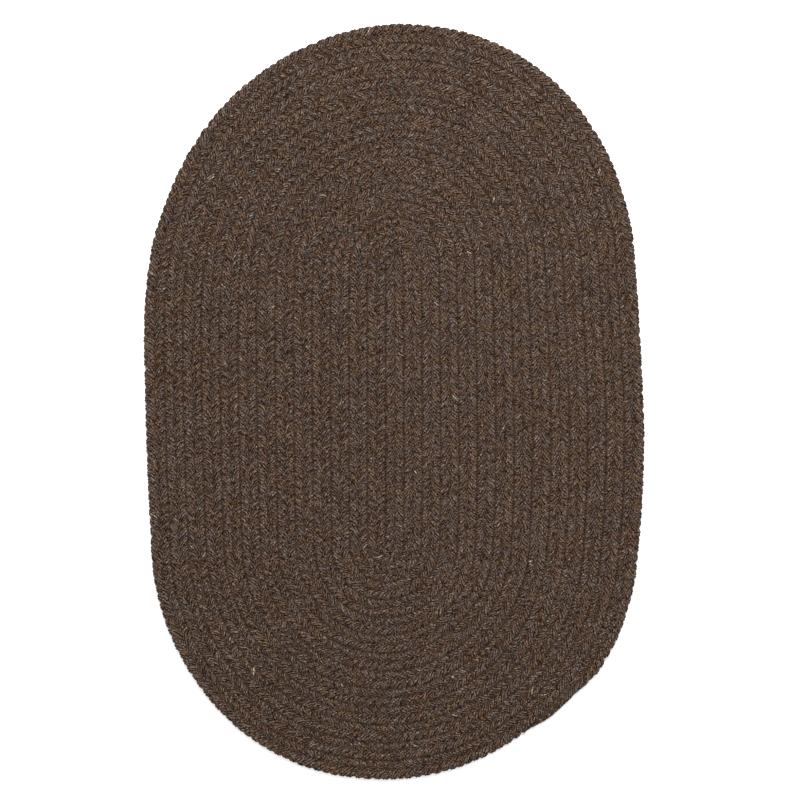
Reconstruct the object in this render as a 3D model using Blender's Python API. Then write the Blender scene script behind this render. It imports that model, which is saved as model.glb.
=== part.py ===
"""Oval braided wool rug, lying flat.

One long braid starts in the middle of the rug, runs down the centre seam, turns round its foot end and winds
outward, each lap laced edge to edge to the lap inside it. The last lap ends at the lower right, where the
braid narrows and is tucked against its neighbour.

Units are metres, +Z is up and the underside lies at Z = 0. The origin is the middle of the rug's outline,
+Y points to the rug's head end and +X to its right-hand side.
"""
import math
from collections import namedtuple

import bmesh
import bpy

MM = 0.001
NODE = "oval_braid"

# The braid's section
CROWN_HEIGHT = 10.6 * MM
GROOVE_HEIGHT = 7.8 * MM
INNER_SHOULDER = 0.28  # share of the braid's width
OUTER_SHOULDER = 0.72

# The winding: half rings round two centres, joined by straight sides
FOOT_CENTRE = (-11.0 * MM, -176.0 * MM)
HEAD_CENTRE = (0.0, 171.3 * MM)
CENTRE_SHIFT = HEAD_CENTRE[0] - FOOT_CENTRE[0]  # half a braid's width
LAST_LAP = 13  # laps are counted from 0
TAIL_END = 1.30  # place on the last lap where the braid ends

# Steps along each stretch of a lap
SIDE_STEPS = 6
ARC_STEPS = 30
LAP_STEPS = 2 * (SIDE_STEPS + ARC_STEPS)
STRETCHES = 4
RIGHT_SIDE, FOOT_ARC, LEFT_SIDE, HEAD_ARC = range(STRETCHES)

# The braid lies wider on the sides than round the ends. A place counts the stretches of one lap, clockwise
# seen from above: 0 to 1 is the right side from head to foot, 1 to 2 the foot arc, 2 to 3 the left side
# from foot to head, and 3 to 4 the head arc.
RowPitch = namedtuple("RowPitch", "place pitch_mm")
ROW_PITCHES = (
    RowPitch(0.00, 21.7),
    RowPitch(0.30, 22.2),
    RowPitch(0.60, 22.5),
    RowPitch(0.87, 22.3),
    RowPitch(1.00, 22.0),
    RowPitch(1.17, 21.6),
    RowPitch(1.33, 21.75),
    RowPitch(1.50, 21.85),
    RowPitch(1.67, 22.0),
    RowPitch(1.83, 21.8),
    RowPitch(2.00, 21.95),
    RowPitch(2.30, 22.35),
    RowPitch(2.80, 22.6),
    RowPitch(3.00, 22.1),
    RowPitch(3.08, 21.3),
    RowPitch(3.20, 20.9),
    RowPitch(3.35, 20.95),
    RowPitch(3.50, 21.4),
    RowPitch(3.67, 21.75),
    RowPitch(3.90, 21.5),
)

# The last of the braid narrows in two steps
TailWidth = namedtuple("TailWidth", "place share")
TAIL_WIDTHS = (
    TailWidth(1.13, 1.00),
    TailWidth(1.17, 0.92),
    TailWidth(1.21, 0.52),
    TailWidth(1.26, 0.32),
    TailWidth(TAIL_END, 0.00),
)

# The rounded edge, from the last groove down to the underside
RimRing = namedtuple("RimRing", "inset_mm height_mm")
RIM_RINGS = (
    RimRing(0.0, 5.2),
    RimRing(0.7, 2.4),
    RimRing(3.0, 0.0),
)
RIM_TOP_INSET = 0.8 * MM

MERGE_DISTANCE = 0.02 * MM
SHARP_ANGLE = math.radians(50)

WOOL_COLOUR = (0.115, 0.075, 0.055, 1.0)
WOOL_ROUGHNESS = 0.95


def mix(start, end, share):
    return start + (end - start) * share


def row_pitch(place):
    """Width of one row at a place, in metres, on a smooth curve through the table that closes on itself."""
    knots = [(row.place, row.pitch_mm * MM) for row in ROW_PITCHES]
    knots = [(knots[-1][0] - STRETCHES, knots[-1][1])] + knots
    knots += [(knots[k][0] + STRETCHES, knots[k][1]) for k in (1, 2)]
    place = place % STRETCHES
    k = max(n for n in range(1, len(knots) - 2) if knots[n][0] <= place)
    (x0, y0), (x1, y1), (x2, y2), (x3, y3) = knots[k - 1 : k + 3]
    span = x2 - x1
    t = (place - x1) / span
    slope_in = (y2 - y0) / (x2 - x0) * span
    slope_out = (y3 - y1) / (x3 - x1) * span
    return (
        y1 * (2 * t**3 - 3 * t**2 + 1)
        + slope_in * (t**3 - 2 * t**2 + t)
        + y2 * (3 * t**2 - 2 * t**3)
        + slope_out * (t**3 - t**2)
    )


def tail_width(place):
    """Share of the braid's full width that is left at a place on the last lap."""
    for start, end in zip(TAIL_WIDTHS, TAIL_WIDTHS[1:]):
        if start.place <= place <= end.place:
            share = (place - start.place) / (end.place - start.place)
            return mix(start.share, end.share, share)
    return 1.0 if place < TAIL_END else 0.0


def lap_places():
    """The places of one lap's steps."""
    places = []
    for stretch in (RIGHT_SIDE, FOOT_ARC, LEFT_SIDE, HEAD_ARC):
        steps = ARC_STEPS if stretch in (FOOT_ARC, HEAD_ARC) else SIDE_STEPS
        places += [stretch + step / steps for step in range(steps)]
    return places


def spot(row, place):
    """Where the edge between two rows runs at a place; row counts rows out from the centre seam."""
    stretch = int(place)
    share = place - stretch
    reach = row * row_pitch(place)
    if stretch == RIGHT_SIDE:
        return FOOT_CENTRE[0] + reach, mix(HEAD_CENTRE[1], FOOT_CENTRE[1], share)
    if stretch == LEFT_SIDE:
        return FOOT_CENTRE[0] - reach, mix(FOOT_CENTRE[1], HEAD_CENTRE[1], share)
    if stretch == FOOT_ARC:
        turn = -math.pi * share
        centre = FOOT_CENTRE
    else:
        turn = math.pi * (1 - share)
        centre = HEAD_CENTRE
        reach += mix(CENTRE_SHIFT, row_pitch(place) - CENTRE_SHIFT, share)
    return centre[0] + reach * math.cos(turn), centre[1] + reach * math.sin(turn)


def outer_row(place):
    """Row number of the rug's outline at a place."""
    if place < TAIL_END:
        return LAST_LAP + tail_width(place)
    return LAST_LAP


def add_strip(bm, places, tail_step):
    """The crowned top of the whole winding. Returns the grooves' vertices, in order along the braid."""
    grooves = []
    for step in range(tail_step + LAP_STEPS):
        lap, at = divmod(step, LAP_STEPS)
        place = places[at]
        row = lap
        if step >= tail_step:
            row = outer_row(place) - RIM_TOP_INSET / row_pitch(place)
        grooves.append(bm.verts.new((*spot(row, place), GROOVE_HEIGHT)))
    grooves.append(grooves[tail_step])

    shoulders = []
    for step in range(tail_step):
        lap, at = divmod(step, LAP_STEPS)
        place = places[at]
        width = tail_width(place) if lap == LAST_LAP else 1.0
        height = mix(GROOVE_HEIGHT, CROWN_HEIGHT, math.sqrt(width))
        inner = bm.verts.new((*spot(lap + INNER_SHOULDER * width, place), height))
        outer = bm.verts.new((*spot(lap + OUTER_SHOULDER * width, place), height))
        shoulders.append((inner, outer))

    for step in range(tail_step - 1):
        here = (grooves[step], *shoulders[step], grooves[step + LAP_STEPS])
        ahead = (grooves[step + 1], *shoulders[step + 1], grooves[step + 1 + LAP_STEPS])
        for side in range(3):
            bm.faces.new((here[side], here[side + 1], ahead[side + 1], ahead[side]))

    # The tucked end closes to a point
    inner, outer = shoulders[-1]
    point = grooves[tail_step]
    bm.faces.new((grooves[tail_step - 1], inner, point))
    bm.faces.new((inner, outer, point))
    bm.faces.new((outer, grooves[tail_step - 1 + LAP_STEPS], point))

    # The round start of the braid, which the first head arc closes round
    inner, outer = shoulders[0]
    first = LAP_STEPS - ARC_STEPS
    middle = first + ARC_STEPS // 2
    for step in range(first, LAP_STEPS):
        crown = inner if step < middle else outer
        bm.faces.new((crown, grooves[step], grooves[step + 1]))
    bm.faces.new((inner, grooves[middle], outer))
    return grooves


def add_rim(bm, places, tail_step, top_ring):
    """The rounded outer edge and the flat underside."""
    ring = top_ring
    for rim in RIM_RINGS:
        lower = []
        for step in range(tail_step, tail_step + LAP_STEPS):
            place = places[step % LAP_STEPS]
            row = outer_row(place) - rim.inset_mm * MM / row_pitch(place)
            lower.append(bm.verts.new((*spot(row, place), rim.height_mm * MM)))
        for step in range(LAP_STEPS):
            after = (step + 1) % LAP_STEPS
            bm.faces.new((ring[step], ring[after], lower[after], lower[step]))
        ring = lower
    bm.faces.new(ring)


def centre_on_outline(bm):
    """Moves the mesh so that the origin is the middle of the outline."""
    for axis in (0, 1):
        reach = [vert.co[axis] for vert in bm.verts]
        middle = (min(reach) + max(reach)) / 2
        for vert in bm.verts:
            vert.co[axis] -= middle


def wool_material():
    material = bpy.data.materials.new("wool_braid")
    material.use_nodes = True
    shader = material.node_tree.nodes["Principled BSDF"]
    shader.inputs["Base Color"].default_value = WOOL_COLOUR
    shader.inputs["Roughness"].default_value = WOOL_ROUGHNESS
    shader.inputs["Metallic"].default_value = 0.0
    return material


def build_rug():
    """The whole winding as one closed solid."""
    places = lap_places()
    tail_step = LAST_LAP * LAP_STEPS + sum(place < TAIL_END for place in places)

    bm = bmesh.new()
    grooves = add_strip(bm, places, tail_step)
    add_rim(bm, places, tail_step, grooves[tail_step : tail_step + LAP_STEPS])
    bmesh.ops.remove_doubles(bm, verts=bm.verts, dist=MERGE_DISTANCE)
    bmesh.ops.recalc_face_normals(bm, faces=bm.faces)
    centre_on_outline(bm)

    mesh = bpy.data.meshes.new(NODE)
    bm.to_mesh(mesh)
    bm.free()
    mesh.shade_smooth()
    mesh.set_sharp_from_angle(angle=SHARP_ANGLE)
    mesh.materials.append(wool_material())
    rug = bpy.data.objects.new(NODE, mesh)
    bpy.context.scene.collection.objects.link(rug)
    return rug


def main():
    for old in list(bpy.data.objects):
        bpy.data.objects.remove(old, do_unlink=True)
    build_rug()


main()
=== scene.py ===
"""The braided rug's looks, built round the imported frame.

A real three-strand plait follows the same oval winding as the frame's solid. It starts at the head end of
the centre seam, runs down it and winds outward, clockwise seen from above, to its tucked tail at the lower
right.
"""
import math
from collections import namedtuple

import bpy
import numpy as np
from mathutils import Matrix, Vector


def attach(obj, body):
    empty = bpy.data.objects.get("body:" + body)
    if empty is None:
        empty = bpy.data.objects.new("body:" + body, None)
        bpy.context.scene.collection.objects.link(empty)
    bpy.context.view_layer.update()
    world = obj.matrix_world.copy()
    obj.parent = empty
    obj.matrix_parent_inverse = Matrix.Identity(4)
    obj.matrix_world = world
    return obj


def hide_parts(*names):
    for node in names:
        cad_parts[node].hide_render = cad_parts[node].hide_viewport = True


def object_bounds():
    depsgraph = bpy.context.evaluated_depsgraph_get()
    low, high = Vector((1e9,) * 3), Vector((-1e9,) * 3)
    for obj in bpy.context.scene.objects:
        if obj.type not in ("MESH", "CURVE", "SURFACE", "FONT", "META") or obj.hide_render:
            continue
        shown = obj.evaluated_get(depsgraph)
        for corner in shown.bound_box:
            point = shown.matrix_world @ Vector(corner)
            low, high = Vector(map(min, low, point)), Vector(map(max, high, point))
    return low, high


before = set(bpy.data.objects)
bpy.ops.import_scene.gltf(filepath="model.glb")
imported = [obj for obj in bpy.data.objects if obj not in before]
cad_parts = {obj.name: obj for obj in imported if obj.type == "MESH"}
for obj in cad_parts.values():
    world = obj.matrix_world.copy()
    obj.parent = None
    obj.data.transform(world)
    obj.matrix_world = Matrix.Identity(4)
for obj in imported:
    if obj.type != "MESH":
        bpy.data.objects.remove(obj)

CAD_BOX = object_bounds()
MM = 0.001
NODE = "oval_braid"

# ---------------------------------------------------------------------------------------------------------
# The winding, as in the frame: half rings round two centres, joined by straight sides
# ---------------------------------------------------------------------------------------------------------
FOOT_CENTRE = (-11.0 * MM, -176.0 * MM)
HEAD_CENTRE = (0.0, 171.3 * MM)
CENTRE_SHIFT = HEAD_CENTRE[0] - FOOT_CENTRE[0]
LAST_LAP = 13
TAIL_END = 1.30
STRETCHES = 4
RIGHT_SIDE, FOOT_ARC, LEFT_SIDE, HEAD_ARC = range(STRETCHES)
PATH_STEP = 1.0 * MM
PATH_SAMPLES = 60000
LEAD_SAMPLES = 60
OUTLINE_SAMPLES = 4000

# A place counts the stretches of one lap: 0 to 1 is the right side from head to foot, and so on round
RowPitch = namedtuple("RowPitch", "place pitch_mm")
ROW_PITCHES = (
    RowPitch(0.00, 21.7),
    RowPitch(0.30, 22.2),
    RowPitch(0.60, 22.5),
    RowPitch(0.87, 22.3),
    RowPitch(1.00, 22.0),
    RowPitch(1.17, 21.6),
    RowPitch(1.33, 21.75),
    RowPitch(1.50, 21.85),
    RowPitch(1.67, 22.0),
    RowPitch(1.83, 21.8),
    RowPitch(2.00, 21.95),
    RowPitch(2.30, 22.35),
    RowPitch(2.80, 22.6),
    RowPitch(3.00, 22.1),
    RowPitch(3.08, 21.3),
    RowPitch(3.20, 20.9),
    RowPitch(3.35, 20.95),
    RowPitch(3.50, 21.4),
    RowPitch(3.67, 21.75),
    RowPitch(3.90, 21.5),
)
TailWidth = namedtuple("TailWidth", "place share")
TAIL_WIDTHS = (
    TailWidth(1.13, 1.00),
    TailWidth(1.17, 0.92),
    TailWidth(1.21, 0.52),
    TailWidth(1.26, 0.32),
    TailWidth(TAIL_END, 0.00),
)
TAIL_TUCK = 0.10  # of a row: how far the tail's end slips under the row beside it
START_REACH = 10.0 * MM  # how far the braid's start reaches past the centre of the head rings

# ---------------------------------------------------------------------------------------------------------
# The plait
# ---------------------------------------------------------------------------------------------------------
STRANDS = 3
MID_HEIGHT = 5.35 * MM
PERIOD = 30.4 * MM  # braid length in which a strand crosses over and comes back
PERIOD_STEPS = 14  # a strand's section rings in that length
TURNOVER_SHARE = 0.50  # how much closer they lie where the strand turns over the edge
SWING = 9.3 * MM  # how far a strand's middle goes to each side
STRAIGHTNESS = 0.95  # how straight it crosses: 0 is a sine, 1 a zigzag
RISE = 1.65 * MM  # how far it goes above and below the middle
STRAND_HALF_WIDTH = 5.1 * MM
STRAND_HALF_DEPTH = 2.40 * MM
STRAND_SQUARENESS = 3.8  # 2 is an ellipse
TURN_NARROWING = 0.10  # the strand bunches up where it turns over the braid's edge
TURN_THICKENING = 0.70
TURN_ROUNDING = 3  # power: the squarish section turns oval, only close to that edge
FULL_PITCH = 22.0 * MM  # row width at which the swing is as above
PRESS = 1.1 * MM  # how far the last lap is drawn in, because its free loops bulge out of the row
EDGE_FLATTENING = 0.13  # of the swing: the loops of the rug's free edge are pulled flatter
FLATTENING_POWER = 6  # the higher, the less of a loop is flattened
EDGE_SHIFT = 1.50 * MM  # how much further out these loops come
PLAIT_PIECES = 6

# Where the braid is narrower than this share of its full width, its strands draw together
TAIL_FROM = 0.90
TAIL_DRAW = 0.6  # power
TAIL_GIRTH_SLOPE = 1.15
TAIL_GIRTH_BASE = 0.2
TAIL_GIRTH_LEAST = 0.45
TAIL_EASING = 0.3  # of the full width, in which the loops turn into a smooth edge
TAIL_FLATTENING = 0.35  # of the swing, for that edge
TAIL_SHIFT = 2.0 * MM  # how much further out it lies
TAIL_STEEPNESS = 2.5  # how soon in its swing a strand lies that far out
LOOSE_END = 4.0 * MM  # the last bit of one strand that sticks out of the tail
LOOSE_THINNING = 0.6

YARNS = 8  # ridges round a strand
RING_SIZE = 2 * YARNS  # points of a section ring: each yarn's valley and peak
YARN_PEAK = 0.10 * MM
YARN_VALLEY = 0.45 * MM
YARN_TWIST = math.radians(6.5)  # the yarns' angle to the strand
ROLL = -6.2 * MM  # how far round the strand rolls one way and back as it crosses
YARN_DRIFT = 0.72 * MM  # how far a ridge strays to each side of its place
DRIFT_LENGTHS = (14 * MM, 26 * MM)
RING_SAMPLES = 1441
PHASE_SAMPLES = 2001

# Unevenness, as amounts either way
PACE_WANDER = 0.7  # radians of the period, for all three strands together
PHASE_WANDER = 0.25  # the same, for each strand for itself
SWING_WANDER = 0.04  # share
WIDTH_WANDER = 0.07  # share
HEIGHT_WANDER = 0.22 * MM
WANDER_LENGTH = 33 * MM
LOOP_WIDTH_WANDER = 0.05  # share, from one loop of a strand to the next
LOOP_HEIGHT_WANDER = 0.12 * MM
LOOP_LENGTH = 13 * MM
SEED = 41

# The web where rows and strands press together, at the bottom of the gaps
WEB_HALF_THICKNESS = 1.0 * MM  # under the middle of a row
WEB_RIDGE = 2.1 * MM  # how much thicker it is between two rows, to each side
WEB_RINGS = 56
WEB_INNERMOST = 0.04  # where the last ring lies: 0 is the centre seam, 1 the edge
WEB_EDGE_INSET = 0.16  # of a row
WEB_SIDE_STEPS = 8
WEB_ARC_STEPS = 40

# ---------------------------------------------------------------------------------------------------------
# The wool
# ---------------------------------------------------------------------------------------------------------
YARN_HALF_PITCH = 1.58 * MM
YARN_STRIP = 7 * MM  # each yarn and each strand takes its own strip of the patterns
STRAND_STRIP = 40.0
PLY_LENGTH = 3.2 * MM  # from one ply's bulge to the next
PLY_SLANT = 0.30  # of that length, from a yarn's middle to its side
PLY_START = 0.618  # of that length, from one yarn to the next
FIBRE_SLANT = math.radians(4)
SEAM_START = 0.82  # of a row's half width: from here on the painted shade of the seam to the next row deepens

# Sizes of the patterns, along and across a yarn
FIBRE_SIZE = (3.0 * MM, 0.2 * MM, 1.0)
BUNDLE_SIZE = (1.3 * MM, 0.6 * MM, 1.0)  # fibres of one colour that lie together
FLECK_SIZE = (8.0 * MM, 1.0 * MM, 1.0)
RAGGED_SIZE = (1.3 * MM, 0.3 * MM, 1.0)  # unevenness in the outlines of bundles and flecks
RAGGED_REACH = (1.2 * MM, 0.7 * MM, 0)
STREAK_SIZE = (9.0 * MM, 2.2 * MM, 1.0)
LOOSE_SIZE = (1.2 * MM, 0.6 * MM, 1.0)
PIT_SIZE = (1.9 * MM, 1.3 * MM, 1.0)
WARM_SIZE = (11 * MM, 11 * MM, 11 * MM)
GREEN_SIZE = (8 * MM, 8 * MM, 8 * MM)
MATTED_SIZE = (0.8 * MM, 0.8 * MM, 0.8 * MM)

WOOL_COLOURS = (
    (0.0, (0.0240, 0.0074, 0.0015)),
    (0.5, (0.1140, 0.0684, 0.0411)),
    (1.0, (0.1730, 0.1435, 0.1255)),
)
FLECK_COLOUR = (0.306, 0.249, 0.181, 1)
FLECK_START = 0.9965  # the share of fleck cells that stay plain
# Painted shade: the colour the wool fades to in its gaps, seams and depths
PAINTED_SHADE_COLOUR = (0.0100, 0.0029, 0.0006, 1)
# The web's wool, darkened with painted shade
DEPTH_SHADE_COLOURS = ((0.35, (0.007, 0.0031, 0.0011)), (0.65, (0.070, 0.042, 0.0265)))

# ---------------------------------------------------------------------------------------------------------
# The camera, the light and the floor
# ---------------------------------------------------------------------------------------------------------
FRAME_PX = 800
MM_PER_PX = 1.2188
RUG_MIDDLE_PX = (394.25, 401.75)
CAMERA_HEIGHT = 3.6
SENSOR_MM = 36.0
WORLD_STRENGTH = 1.3
SOFTBOX_PLACE = (0.15, 1.3, 2.0)
SOFTBOX_SIZE = 1.3
SOFTBOX_WATTS = 75
FLOOR_REACH = 6.0
FLOOR_DROP = 0.0002  # how far it lies under the rug's lowest points


def mix(start, end, share):
    return start + (end - start) * share


def so_far(steps):
    """The running total of the steps, from zero."""
    return np.concatenate([[0], np.cumsum(steps)])


def add_object(name, data):
    """A new object in the scene."""
    made = bpy.data.objects.new(name, data)
    bpy.context.scene.collection.objects.link(made)
    return made


# ---------------------------------------------------------------------------------------------------------
# The braid's path
# ---------------------------------------------------------------------------------------------------------
def row_pitch(place):
    """Width of one row at each place, on a smooth curve through the table that closes on itself."""
    knots = [(row.place, row.pitch_mm * MM) for row in ROW_PITCHES]
    knots = [(knots[-1][0] - STRETCHES, knots[-1][1])] + knots
    knots += [(knots[k][0] + STRETCHES, knots[k][1]) for k in (1, 2)]
    x, y = np.array(knots).T
    place = np.asarray(place, float) % STRETCHES
    k = np.searchsorted(x[: len(x) - 2], place, side="right") - 1
    span = x[k + 1] - x[k]
    t = (place - x[k]) / span
    slope_in = (y[k + 1] - y[k - 1]) / (x[k + 1] - x[k - 1]) * span
    slope_out = (y[k + 2] - y[k]) / (x[k + 2] - x[k]) * span
    return (
        y[k] * (2 * t**3 - 3 * t**2 + 1)
        + slope_in * (t**3 - 2 * t**2 + t)
        + y[k + 1] * (3 * t**2 - 2 * t**3)
        + slope_out * (t**3 - t**2)
    )


def tail_width(place):
    """Share of the braid's full width that is left at each place on the last lap."""
    table = np.array([(row.place, row.share) for row in TAIL_WIDTHS])
    return np.interp(place, table[:, 0], table[:, 1])


def spot(row, place):
    """Where the edge between two rows runs at each place; row counts rows out from the centre seam."""
    row, place = np.broadcast_arrays(np.asarray(row, float), np.asarray(place, float))
    stretch = np.floor(place).astype(int) % STRETCHES
    share = place - np.floor(place)
    pitch = row_pitch(place)
    reach = row * pitch * (1 - PRESS / ((LAST_LAP + 0.5) * FULL_PITCH))
    head_reach = reach + mix(CENTRE_SHIFT, pitch - CENTRE_SHIFT, share)
    foot_turn = -math.pi * share
    head_turn = math.pi * (1 - share)
    x = np.select(
        [stretch == RIGHT_SIDE, stretch == FOOT_ARC, stretch == LEFT_SIDE],
        [FOOT_CENTRE[0] + reach, FOOT_CENTRE[0] + reach * np.cos(foot_turn), FOOT_CENTRE[0] - reach],
        HEAD_CENTRE[0] + head_reach * np.cos(head_turn),
    )
    y = np.select(
        [stretch == RIGHT_SIDE, stretch == FOOT_ARC, stretch == LEFT_SIDE],
        [
            mix(HEAD_CENTRE[1], FOOT_CENTRE[1], share),
            FOOT_CENTRE[1] + reach * np.sin(foot_turn),
            mix(FOOT_CENTRE[1], HEAD_CENTRE[1], share),
        ],
        HEAD_CENTRE[1] + head_reach * np.sin(head_turn),
    )
    return np.stack([x, y], axis=-1)


def outer_row(place):
    """Row number of the rug's outline at each place."""
    return LAST_LAP + np.where(place < TAIL_END, tail_width(place), 0.0)


def outline_middle():
    """The middle of the outline's box, which the frame has at its origin."""
    place = np.linspace(0, STRETCHES, OUTLINE_SAMPLES, endpoint=False)
    points = spot(outer_row(place), place)
    return (points.min(axis=0) + points.max(axis=0)) / 2


MIDDLE = outline_middle()


def braid_path():
    """The braid's middle line, evenly spaced.

    Gives the length so far, the points, the directions ahead and outward and half the width, then the length
    at which its outer side becomes the rug's free edge.
    """
    place = np.linspace(0, TAIL_END + STRETCHES * LAST_LAP, PATH_SAMPLES)
    lap = np.floor(place / STRETCHES)
    at = place - lap * STRETCHES
    width = np.where(lap == LAST_LAP, tail_width(at), 1.0)
    points = spot(lap + 0.5 * width - TAIL_TUCK * (1 - width), at) - MIDDLE
    half = 0.5 * width * row_pitch(at)

    first = points[0] - (points[1] - points[0]) / np.linalg.norm(points[1] - points[0]) * START_REACH
    lead = np.linspace(first, points[0], LEAD_SAMPLES, endpoint=False)
    points = np.concatenate([lead, points])
    half = np.concatenate([np.full(len(lead), half[0]), half])

    along = so_far(np.linalg.norm(np.diff(points, axis=0), axis=1))
    free_from = np.interp(place[-1] - STRETCHES, place, along[len(lead) :])
    even = np.arange(0, along[-1], PATH_STEP)
    x = np.interp(even, along, points[:, 0])
    y = np.interp(even, along, points[:, 1])
    half = np.interp(even, along, half)
    path = np.stack([x, y], axis=1)
    ahead = np.gradient(path, axis=0)
    ahead /= np.linalg.norm(ahead, axis=1)[:, None]
    outward = np.stack([-ahead[:, 1], ahead[:, 0]], axis=1)
    return even, path, ahead, outward, half, free_from


# ---------------------------------------------------------------------------------------------------------
# The strands
# ---------------------------------------------------------------------------------------------------------
def wander(rng, along, amount, length=WANDER_LENGTH):
    """A smooth random drift along the braid, within about the amount either way."""
    knots = rng.uniform(-1, 1, int(along[-1] / length) + 4)
    x = along / length + 1
    k = np.floor(x).astype(int)
    t = x - k
    blend = t * t * (3 - 2 * t)
    return amount * mix(knots[k - 1], knots[k], blend)


def crossing(phase):
    """How far to the side a strand is, from -1 to 1, through its period."""
    return np.arcsin(STRAIGHTNESS * np.sin(phase)) / math.asin(STRAIGHTNESS)


def crossing_pace(phase):
    """How fast that changes with the phase."""
    lean = np.sqrt(1 - (STRAIGHTNESS * np.sin(phase)) ** 2)
    return STRAIGHTNESS * np.cos(phase) / lean / math.asin(STRAIGHTNESS)


def phase_steps():
    """Phases of one period's sections, closer where the strand turns over the braid's edge."""
    fine = np.linspace(0, 2 * math.pi, PHASE_SAMPLES)
    turn = np.unwrap(np.arctan2(2 * RISE * np.cos(2 * fine), SWING * crossing_pace(fine)))
    turned = so_far(np.abs(np.diff(turn)))
    turned /= turned[-1]
    even = fine / fine[-1]
    pace = mix(even, turned, TURNOVER_SHARE)
    return np.interp(np.arange(PERIOD_STEPS) / PERIOD_STEPS, pace, fine)


def section_rings(run, phases, rng):
    """Each section's ring of a strand, across and deep in metres, with the yarns wound round it."""
    fine = np.linspace(0, 2 * math.pi, RING_SAMPLES)
    power = 2 / STRAND_SQUARENESS
    across = STRAND_HALF_WIDTH * np.sign(np.cos(fine)) * np.abs(np.cos(fine)) ** power
    deep = STRAND_HALF_DEPTH * np.sign(np.sin(fine)) * np.abs(np.sin(fine)) ** power
    round_it = so_far(np.hypot(np.diff(across), np.diff(deep)))
    girth = round_it[-1]
    even = np.linspace(0, girth, RING_SAMPLES)
    across = np.interp(even, round_it, across)
    deep = np.interp(even, round_it, deep)
    out_across, out_deep = np.gradient(deep), -np.gradient(across)
    length = np.hypot(out_across, out_deep)

    j = np.arange(RING_SIZE)
    drift_length = rng.uniform(*DRIFT_LENGTHS, RING_SIZE)
    drift_start = rng.uniform(0, 2 * math.pi, RING_SIZE)
    drift = YARN_DRIFT * np.sin(2 * math.pi * run[:, None] / drift_length + drift_start)
    turned = run * math.tan(YARN_TWIST) + ROLL * np.sin(phases)
    at = (j / RING_SIZE * girth + turned[:, None] + drift) % girth
    relief = np.where(j % 2, YARN_PEAK, -YARN_VALLEY)
    return (
        np.interp(at, even, across) + relief * np.interp(at, even, out_across / length),
        np.interp(at, even, deep) + relief * np.interp(at, even, out_deep / length),
    )


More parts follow.
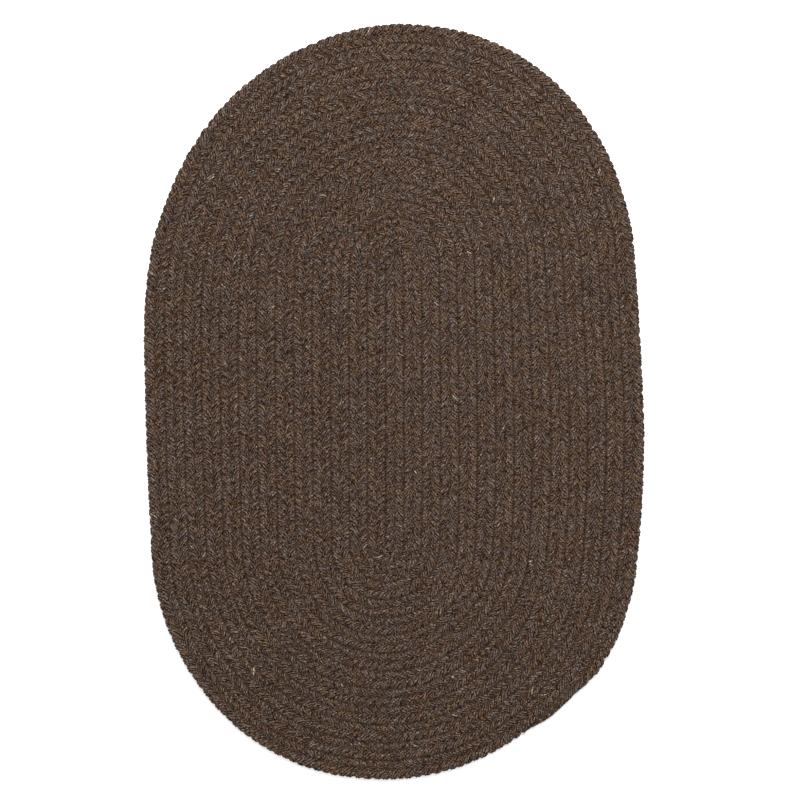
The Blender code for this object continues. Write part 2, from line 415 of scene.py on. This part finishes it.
def strand_rings(strand, path_parts, rng):
    """Every section ring of one strand: its number, how far along the braid, its points and their places.

    A place is the length along the strand, then how far across its row and how far across the strand the
    point lies, each from about -1 to 1. On the rug's free edge the row has no seam, so there it stops short.
    """
    along, path, ahead, outward, half, free_from = path_parts
    drift = wander(np.random.default_rng(SEED), along, PACE_WANDER) + wander(rng, along, PHASE_WANDER)
    phase_at = 2 * math.pi * (along / PERIOD + strand / STRANDS) + drift
    steps = phase_steps()
    first = math.ceil(phase_at[0] / (2 * math.pi)) - 1
    last = math.floor(phase_at[-1] / (2 * math.pi)) + 1
    phases = np.concatenate([2 * math.pi * turn + steps for turn in range(first, last + 1)])
    numbers = np.arange(len(phases))
    inside = (phases > phase_at[0]) & (phases < phase_at[-1])
    phases, numbers = phases[inside], numbers[inside]
    s = np.interp(phases, phase_at, along)

    def at(values):
        if values.ndim == 1:
            return np.interp(s, along, values)
        return np.stack([np.interp(s, along, column) for column in values.T], axis=1)

    middle, front, side, room = at(path), at(ahead), at(outward), at(half)
    fill = room / (FULL_PITCH / 2)
    start = np.clip(s / START_REACH, 0, 1)
    start = np.sqrt(np.clip(1 - (1 - start) ** 2, 0.05, 1))
    drawn = np.clip(fill / TAIL_FROM, 0, 1) ** TAIL_DRAW
    swing = SWING * fill * drawn * start * (1 + at(wander(rng, along, SWING_WANDER)))
    rise = RISE * np.sqrt(np.clip(fill, 0.02, 1)) * start * (1 + at(wander(rng, along, SWING_WANDER)))
    lift = at(wander(rng, along, HEIGHT_WANDER) + wander(rng, along, LOOP_HEIGHT_WANDER, LOOP_LENGTH))
    plump = 1 + at(wander(rng, along, WIDTH_WANDER) + wander(rng, along, LOOP_WIDTH_WANDER, LOOP_LENGTH))
    slimness = np.clip(fill * TAIL_GIRTH_SLOPE + TAIL_GIRTH_BASE, TAIL_GIRTH_LEAST, 1)
    girth = plump * slimness * np.sqrt(start)

    swung = crossing(phases)
    outer = np.clip(swung, 0, 1) * (s > free_from)
    narrow = np.clip((TAIL_FROM - fill) / TAIL_EASING, 0, 1)
    flattening = mix(EDGE_FLATTENING, TAIL_FLATTENING, narrow)
    shift = EDGE_SHIFT + TAIL_SHIFT * narrow * np.clip(fill / TAIL_EASING, 0, 1)
    shift = shift * mix(outer, np.clip(TAIL_STEEPNESS * outer, 0, 1), narrow)
    lateral = swing * (swung - flattening * outer**FLATTENING_POWER) + shift
    height = MID_HEIGHT + lift + rise * np.sin(2 * phases)
    pace = 2 * math.pi / PERIOD
    lateral_pace = swing * pace * crossing_pace(phases)
    height_pace = 2 * rise * pace * np.cos(2 * phases)

    ground = np.zeros((len(s), 1))
    flat_side = np.concatenate([side, ground], axis=1)
    flat_front = np.concatenate([front, ground], axis=1)
    middle_line = np.concatenate([middle, ground], axis=1)
    up = np.array([0.0, 0.0, 1.0])
    if strand == 0:
        loose = np.clip(1 - (s[-1] - s) / (2 * LOOSE_END), 0, 1)
        lateral = lateral + LOOSE_END * loose**2
        girth = girth * (1 - LOOSE_THINNING * loose)
    centre = middle_line + flat_side * lateral[:, None] + up * height[:, None]
    run = flat_front + flat_side * lateral_pace[:, None] + up * height_pace[:, None]
    run /= np.linalg.norm(run, axis=1)[:, None]
    face = -flat_side * height_pace[:, None] + up * lateral_pace[:, None]
    face /= np.linalg.norm(face, axis=1)[:, None]
    across = np.cross(run, face)

    strand_run = so_far(np.linalg.norm(np.diff(centre, axis=0), axis=1))
    section_across, section_deep = section_rings(strand_run, phases, rng)
    bunch = np.sin(phases) ** 2
    corner = np.maximum(np.hypot(section_across / STRAND_HALF_WIDTH, section_deep / STRAND_HALF_DEPTH), 1)
    rounding = 1 + (corner - 1) * bunch[:, None] ** TURN_ROUNDING
    section_across, section_deep = section_across / rounding, section_deep / rounding
    wide = (girth * (1 - TURN_NARROWING * bunch))[:, None] * section_across
    deep = (girth * (1 + TURN_THICKENING * bunch))[:, None] * section_deep
    points = centre[:, None, :] + across[:, None, :] * wide[:, :, None] + face[:, None, :] * deep[:, :, None]
    points[:, :, 2] = np.maximum(points[:, :, 2], 0)  # the lowest loops are pressed flat on the floor
    # The shares across the row and across the strand drive the wool's painted shade at seams and row middles
    # and its painted light on the strand's sides; on the free side the row share stops at SEAM_START, so no
    # seam shade is painted there
    row_share = ((points - middle_line[:, None, :]) * flat_side[:, None, :]).sum(axis=-1) / room[:, None]
    open_side = (s > free_from)[:, None] & (row_share > SEAM_START)
    row_share = np.where(open_side, SEAM_START, row_share)
    strand_share = wide / (STRAND_HALF_WIDTH * girth)[:, None]
    strip = np.broadcast_to(strand_run[:, None] + STRAND_STRIP * strand, wide.shape)
    pattern = np.stack([strip, row_share, strand_share], axis=-1)
    return numbers, s, points, pattern


def tube_piece(name, tubes, material):
    """One mesh of several closed tubes, each given as its rings of points and their places."""
    points, pattern, faces, yarn, beside = [], [], [], [], []
    base = 0
    for tube, (rings, places) in enumerate(tubes):
        count = len(rings)
        points.append(rings.reshape(-1, 3))
        pattern.append(places.reshape(-1, 3))
        ring, j = np.meshgrid(np.arange(count - 1), np.arange(RING_SIZE), indexing="ij")
        after = (j + 1) % RING_SIZE
        quads = np.stack(
            [
                base + ring * RING_SIZE + j,
                base + (ring + 1) * RING_SIZE + j,
                base + (ring + 1) * RING_SIZE + after,
                base + ring * RING_SIZE + after,
            ],
            axis=-1,
        ).reshape(-1, 4)
        faces += quads.tolist()
        yarn += (((j // 2) % YARNS) + YARNS * tube).ravel().tolist()
        near = np.where(j % 2, 0.0, -1.0).ravel()
        far = near + 1
        beside.append(np.stack([near, near, far, far], axis=1).ravel())
        faces.append(list(range(base, base + RING_SIZE)))
        faces.append(list(range(base + (count - 1) * RING_SIZE, base + count * RING_SIZE))[::-1])
        yarn += [0, 0]
        beside.append(np.zeros(2 * RING_SIZE))
        base += count * RING_SIZE

    mesh = bpy.data.meshes.new(name)
    mesh.from_pydata(np.concatenate(points), [], faces)
    mesh.shade_smooth()
    ends = np.empty(len(mesh.edges) * 2, np.int32)
    mesh.edges.foreach_get("vertices", ends)
    ends = ends.reshape(-1, 2) % RING_SIZE
    valley = (ends[:, 0] == ends[:, 1]) & (ends[:, 0] % 2 == 0)
    mesh.attributes.new("sharp_edge", "BOOLEAN", "EDGE").data.foreach_set("value", valley)
    mesh.attributes.new("strand_place", "FLOAT_VECTOR", "POINT").data.foreach_set(
        "vector", np.concatenate(pattern).astype(np.float32).ravel()
    )
    mesh.attributes.new("yarn_number", "FLOAT", "FACE").data.foreach_set(
        "value", np.array(yarn, np.float32)
    )
    mesh.attributes.new("yarn_beside", "FLOAT", "CORNER").data.foreach_set(
        "value", np.concatenate(beside).astype(np.float32)
    )
    mesh.materials.append(material)
    return add_object(name, mesh)


def plait(material):
    """The three strands along the whole braid, as pieces of a few laps each."""
    path_parts = braid_path()
    rng = np.random.default_rng(SEED)
    whole = [strand_rings(strand, path_parts, rng) for strand in range(STRANDS)]
    length = path_parts[0][-1]
    pieces = []
    for part in range(PLAIT_PIECES):
        low = length * part / PLAIT_PIECES
        high = length * (part + 1) / PLAIT_PIECES
        tubes = []
        for numbers, s, points, pattern in whole:
            cuts = np.flatnonzero(numbers % PERIOD_STEPS == 0)
            cuts = cuts[(s[cuts] > PERIOD) & (s[cuts] < length - PERIOD)]
            begin = 0 if part == 0 else cuts[np.argmin(abs(s[cuts] - low))]
            end = len(s) - 1 if part == PLAIT_PIECES - 1 else cuts[np.argmin(abs(s[cuts] - high))]
            tubes.append((points[begin : end + 1], pattern[begin : end + 1]))
        pieces.append(tube_piece(f"plait_{part + 1}", tubes, material))
    return pieces


def web_piece(material):
    """A thin closed sheet through the middle of the rug, where the rows and strands press together; its
    colour is darkened with painted shade.
    """
    places = []
    for stretch in range(STRETCHES):
        steps = WEB_ARC_STEPS if stretch in (FOOT_ARC, HEAD_ARC) else WEB_SIDE_STEPS
        places += [stretch + step / steps for step in range(steps)]
    places = np.array(places)
    count = len(places)
    edge = spot(outer_row(places) - WEB_EDGE_INSET, places) - MIDDLE
    spine = spot(np.zeros(count), places) - MIDDLE
    points, faces = [], []
    for side in (1, -1):
        for share in np.linspace(1, WEB_INNERMOST, WEB_RINGS):
            ring = mix(spine, edge, share)
            between_rows = np.cos(math.pi * (outer_row(places) - WEB_EDGE_INSET) * share) ** 4
            z = MID_HEIGHT + side * (WEB_HALF_THICKNESS + WEB_RIDGE * between_rows)
            points.append(np.concatenate([ring, z[:, None]], axis=1))

    def ring_points(ring):
        return np.arange(ring * count, (ring + 1) * count)

    def band(one, other):
        """Faces between two rings, which look up where the first is the outer one."""
        near, far = ring_points(other), ring_points(one)
        corners = [near, np.roll(near, -1), np.roll(far, -1), far]
        faces.extend(np.stack(corners, axis=1).tolist())

    for k in range(WEB_RINGS - 1):
        band(k, k + 1)
        band(WEB_RINGS + k + 1, WEB_RINGS + k)
    band(WEB_RINGS, 0)
    faces.append(ring_points(WEB_RINGS - 1)[::-1].tolist())
    faces.append(ring_points(2 * WEB_RINGS - 1).tolist())
    mesh = bpy.data.meshes.new("web")
    mesh.from_pydata(np.concatenate(points), [], faces)
    mesh.materials.append(material)
    return add_object("web", mesh)


# ---------------------------------------------------------------------------------------------------------
# Materials
# ---------------------------------------------------------------------------------------------------------
class Nodes:
    """Short calls for laying out one material's nodes."""

    def __init__(self, name):
        self.material = bpy.data.materials.new(name)
        self.material.use_nodes = True
        self.tree = self.material.node_tree
        self.shader = self.tree.nodes["Principled BSDF"]

    def add(self, kind, **settings):
        node = self.tree.nodes.new(kind)
        for key, value in settings.items():
            setattr(node, key, value)
        return node

    def link(self, output, target):
        self.tree.links.new(output, target)

    def math(self, operation, *inputs):
        node = self.add("ShaderNodeMath", operation=operation)
        for socket, value in zip(node.inputs, inputs):
            if isinstance(value, (int, float)):
                socket.default_value = value
            else:
                self.link(value, socket)
        return node.outputs[0]

    def parts(self, kind, value):
        """The outputs of a node that takes a vector or a colour apart."""
        node = self.add(kind)
        self.link(value, node.inputs[0])
        return node.outputs

    def multiply_add(self, vector, factors, addend):
        """A vector times constant factors, plus an addend that may be constant."""
        node = self.add("ShaderNodeVectorMath", operation="MULTIPLY_ADD")
        self.link(vector, node.inputs[0])
        node.inputs[1].default_value = factors
        if isinstance(addend, tuple):
            node.inputs[2].default_value = addend
        else:
            self.link(addend, node.inputs[2])
        return node.outputs["Vector"]

    def texture(self, kind, where, sizes, offset, **settings):
        """A texture stretched to the given sizes, in metres; its offset keeps it off the other ones."""
        node = self.add(kind, **settings)
        node.inputs["Scale"].default_value = 1.0
        stretched = self.multiply_add(where, tuple(1 / size for size in sizes), (offset,) * 3)
        self.link(stretched, node.inputs["Vector"])
        return node

    def noise(self, where, sizes, detail, offset=0.0):
        node = self.texture("ShaderNodeTexNoise", where, sizes, offset)
        node.inputs["Detail"].default_value = detail
        return node.outputs["Fac"]

    def cells(self, where, sizes, offset=0.0):
        """The red, green and blue of random cells, each of one colour."""
        node = self.texture("ShaderNodeTexVoronoi", where, sizes, offset, voronoi_dimensions="2D")
        return self.parts("ShaderNodeSeparateColor", node.outputs["Color"])

    def eased(self, value, low, high, floor=0.0, top=1.0):
        """Eases from floor to top while the value goes from low to high."""
        node = self.add("ShaderNodeMapRange", interpolation_type="SMOOTHSTEP")
        self.link(value, node.inputs["Value"])
        node.inputs["From Min"].default_value = low
        node.inputs["From Max"].default_value = high
        node.inputs["To Min"].default_value = floor
        node.inputs["To Max"].default_value = top
        return node.outputs["Result"]

    def ramp(self, value, *stops):
        node = self.add("ShaderNodeValToRGB")
        marks = node.color_ramp.elements
        for k, (place, colour) in enumerate(stops):
            mark = marks[k] if k < 2 else marks.new(place)
            mark.position = place
            mark.color = (*colour, 1)
        self.link(value, node.inputs["Fac"])
        return node.outputs["Color"]

    def blend(self, kind, share, under, over):
        """Mixes two colours."""
        node = self.add("ShaderNodeMix", data_type="RGBA", blend_type=kind)
        sockets = (node.inputs["Factor"], node.inputs[6], node.inputs[7])
        for socket, value in zip(sockets, (share, under, over)):
            if isinstance(value, (int, float, tuple)):
                socket.default_value = value
            else:
                self.link(value, socket)
        return node.outputs[2]

    def bump(self, height, distance):
        node = self.add("ShaderNodeBump")
        node.inputs["Strength"].default_value = 1.0
        node.inputs["Distance"].default_value = distance
        self.link(height, node.inputs["Height"])
        self.link(node.outputs["Normal"], self.shader.inputs["Normal"])

    def finish(self, **settings):
        """Sets the shader's inputs, named with _ for a space."""
        for name, value in settings.items():
            self.shader.inputs[name.replace("_", " ")].default_value = value
        return self.material


def wool_material():
    """Heathered brown wool: fibres of several browns, spun into plied yarns that differ a little."""
    n = Nodes("wool_heather")
    place = n.add("ShaderNodeAttribute", attribute_name="strand_place").outputs["Vector"]
    yarn = n.add("ShaderNodeAttribute", attribute_name="yarn_number").outputs["Fac"]
    beside = n.add("ShaderNodeAttribute", attribute_name="yarn_beside").outputs["Fac"]
    rug = n.add("ShaderNodeTexCoord").outputs["Object"]

    # The yarn's surface laid flat: its fibres run at a slant, as plied yarn's do
    run = n.parts("ShaderNodeSeparateXYZ", place)
    flat_x = run["X"]
    flat_y = n.math("MULTIPLY_ADD", beside, YARN_HALF_PITCH, n.math("MULTIPLY", yarn, YARN_STRIP))
    lean_x, lean_y = math.cos(FIBRE_SLANT), math.sin(FIBRE_SLANT)
    laid = n.add("ShaderNodeCombineXYZ")
    laid_x = n.math("ADD", n.math("MULTIPLY", flat_x, lean_x), n.math("MULTIPLY", flat_y, lean_y))
    laid_y = n.math("SUBTRACT", n.math("MULTIPLY", flat_y, lean_x), n.math("MULTIPLY", flat_x, lean_y))
    n.link(laid_x, laid.inputs["X"])
    n.link(laid_y, laid.inputs["Y"])
    where = laid.outputs["Vector"]

    fibre = n.noise(where, FIBRE_SIZE, 1.0, 5.1)
    ragged = n.multiply_add(n.noise(where, RAGGED_SIZE, 0.0, 11.9), RAGGED_REACH, where)
    shades = n.cells(ragged, BUNDLE_SIZE)
    flecks = n.cells(ragged, FLECK_SIZE, 91.7)
    streak = n.noise(where, STREAK_SIZE, 0.0, 7.3)
    loose = n.noise(where, LOOSE_SIZE, 1.0, 63.3)
    pits = n.noise(where, PIT_SIZE, 0.0, 37.7)
    warm = n.noise(rug, WARM_SIZE, 2.0, 21.7)
    green = n.noise(rug, GREEN_SIZE, 2.0, 43.1)

    # Each yarn's plies bulge in turn; body is the lit share of the wool, with painted shade in the gap
    # between two bulges and between two yarns
    turns = n.math("MULTIPLY", flat_x, 1 / PLY_LENGTH)
    turns = n.math("MULTIPLY_ADD", beside, PLY_SLANT, turns)
    turns = n.math("MULTIPLY_ADD", yarn, PLY_START, turns)
    turns = n.math("MULTIPLY_ADD", streak, 2.0, turns)
    ply = n.math("ABSOLUTE", n.math("SINE", n.math("MULTIPLY", turns, math.pi)))
    off_ridge = n.math("ABSOLUTE", beside)
    ridge = n.math("MULTIPLY_ADD", loose, 1.4, n.math("SUBTRACT", 1.0, off_ridge))
    body = n.eased(n.math("MULTIPLY_ADD", fibre, 0.4, ridge), 1.06, 1.42)
    body = n.math("MULTIPLY", body, n.eased(n.math("MULTIPLY_ADD", fibre, 0.4, ply), 0.2, 0.9, 0.12))

    # Painted light on the strand's sides: there the painted shade between yarns fades out, to offset the
    # real shade in the grooves between strands; small pits of painted shade lie open all over
    side = n.eased(n.math("ABSOLUTE", run["Z"]), 0.45, 0.90, 0.0, 0.85)
    body = n.math("ADD", body, n.math("MULTIPLY", side, n.math("SUBTRACT", 1.0, body)))
    pits = n.math("MULTIPLY_ADD", off_ridge, 0.06, pits)
    body = n.math("MULTIPLY", body, n.eased(pits, 0.635, 0.685, 1.0, 0.0))

    # Each bundle of fibres has its own shade, with warm and cool patches over the whole rug
    tone = n.math("MULTIPLY_ADD", shades["Red"], 1.10, -0.33)
    tone = n.math("MULTIPLY_ADD", fibre, 0.6, tone)
    # Painted light: the wool on the strand's sides is a little lighter
    tone = n.math("MULTIPLY_ADD", side, 0.08, tone)
    colour = n.ramp(tone, *WOOL_COLOURS)
    tints = (
        n.ramp(warm, (0.34, (0.92, 0.99, 1.11)), (0.66, (1.10, 1.0, 0.87))),
        n.ramp(green, (0.34, (1.03, 0.97, 1.03)), (0.66, (0.98, 1.03, 0.97))),
        n.ramp(shades["Green"], (0.0, (0.94, 1.06, 1.00)), (1.0, (1.06, 0.94, 1.00))),
    )
    for tint in tints:
        colour = n.blend("MULTIPLY", 1.0, colour, tint)
    pale = n.math("GREATER_THAN", flecks["Blue"], FLECK_START)
    colour = n.blend("MIX", pale, colour, FLECK_COLOUR)

    # Painted shade: the wool fades to a shade colour in the gaps between yarns, at the seams between rows,
    # along the row's middle where the strands cross, and the deeper it lies between strands
    height = n.parts("ShaderNodeSeparateXYZ", rug)["Z"]
    depth = n.math("ABSOLUTE", n.math("SUBTRACT", height, MID_HEIGHT))
    painted_shade_mask = n.eased(depth, 1.0 * MM, 4.6 * MM, 0.80)
    from_middle = n.math("ABSOLUTE", run["Y"])
    ragged_seam = n.math("MULTIPLY_ADD", n.math("SUBTRACT", streak, 0.5), 0.35, from_middle)
    painted_shade_mask = n.math("MULTIPLY", painted_shade_mask, n.eased(ragged_seam, SEAM_START, 1.00, 1.0, 0.40))
    # Painted shade along the row's middle, where the strands dive under each other
    painted_shade_mask = n.math("MULTIPLY", painted_shade_mask, n.eased(from_middle, 0.03, 0.30, 0.85))
    colour = n.blend("MIX", n.math("MULTIPLY", body, painted_shade_mask), PAINTED_SHADE_COLOUR, colour)
    n.link(colour, n.shader.inputs["Base Color"])

    n.bump(n.math("MULTIPLY_ADD", fibre, 0.5, body), 0.8 * MM)
    return n.finish(
        Roughness=0.95,
        Specular_IOR_Level=0.08,
        Sheen_Weight=0.02,
        Sheen_Roughness=0.5,
        Sheen_Tint=(0.8, 0.65, 0.5, 1),
    )


def web_material():
    """The same wool in the depth of the gaps, matted, its colour darkened with painted shade."""
    n = Nodes("wool_depth")
    rug = n.add("ShaderNodeTexCoord").outputs["Object"]
    matted = n.noise(rug, MATTED_SIZE, 3.0)
    n.link(n.ramp(matted, *DEPTH_SHADE_COLOURS), n.shader.inputs["Base Color"])
    n.bump(matted, 1.0 * MM)
    return n.finish(Roughness=1.0, Specular_IOR_Level=0.1)


def floor_material():
    n = Nodes("pale_floor")
    return n.finish(Base_Color=(0.96, 0.96, 0.96, 1), Roughness=0.9, Specular_IOR_Level=0.0)


# ---------------------------------------------------------------------------------------------------------
# Floor, light and camera
# ---------------------------------------------------------------------------------------------------------
def add_floor():
    mesh = bpy.data.meshes.new("floor")
    corners = [(x * FLOOR_REACH, y * FLOOR_REACH, 0) for x, y in ((-1, -1), (1, -1), (1, 1), (-1, 1))]
    mesh.from_pydata(corners, [], [(0, 1, 2, 3)])
    mesh.materials.append(floor_material())
    floor = add_object("floor", mesh)
    floor.location.z = -FLOOR_DROP


def add_light():
    """One soft lamp from the head end, aimed at the rug, in a bright studio."""
    lamp = bpy.data.lights.new("north_softbox", "AREA")
    lamp.shape = "DISK"
    lamp.size = SOFTBOX_SIZE
    lamp.energy = SOFTBOX_WATTS
    light = add_object("north_softbox", lamp)
    light.location = SOFTBOX_PLACE
    light.rotation_euler = (-Vector(SOFTBOX_PLACE)).to_track_quat("-Z", "Y").to_euler()

    world = bpy.data.worlds.new("studio")
    world.use_nodes = True
    background = world.node_tree.nodes["Background"]
    background.inputs["Color"].default_value = (1, 1, 1, 1)
    background.inputs["Strength"].default_value = WORLD_STRENGTH
    bpy.context.scene.world = world


def add_camera():
    """Straight above, with the rug at its place in the frame."""
    camera = bpy.data.cameras.new("camera")
    camera.sensor_width = SENSOR_MM
    width = FRAME_PX * MM_PER_PX * MM
    camera.lens = SENSOR_MM * CAMERA_HEIGHT / width
    view = add_object("camera", camera)
    off_x = (FRAME_PX / 2 - RUG_MIDDLE_PX[0]) * MM_PER_PX * MM
    off_y = (RUG_MIDDLE_PX[1] - FRAME_PX / 2) * MM_PER_PX * MM
    view.location = (off_x, off_y, CAMERA_HEIGHT + CAD_BOX[1][2])
    bpy.context.scene.camera = view


def main():
    add_camera()
    wool = wool_material()
    pieces = plait(wool)
    web = web_piece(web_material())
    for piece in pieces + [web]:
        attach(piece, "root")
    for piece in pieces:
        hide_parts(NODE)

    add_floor()
    add_light()
    bpy.context.scene.view_settings.view_transform = "Standard"


main()
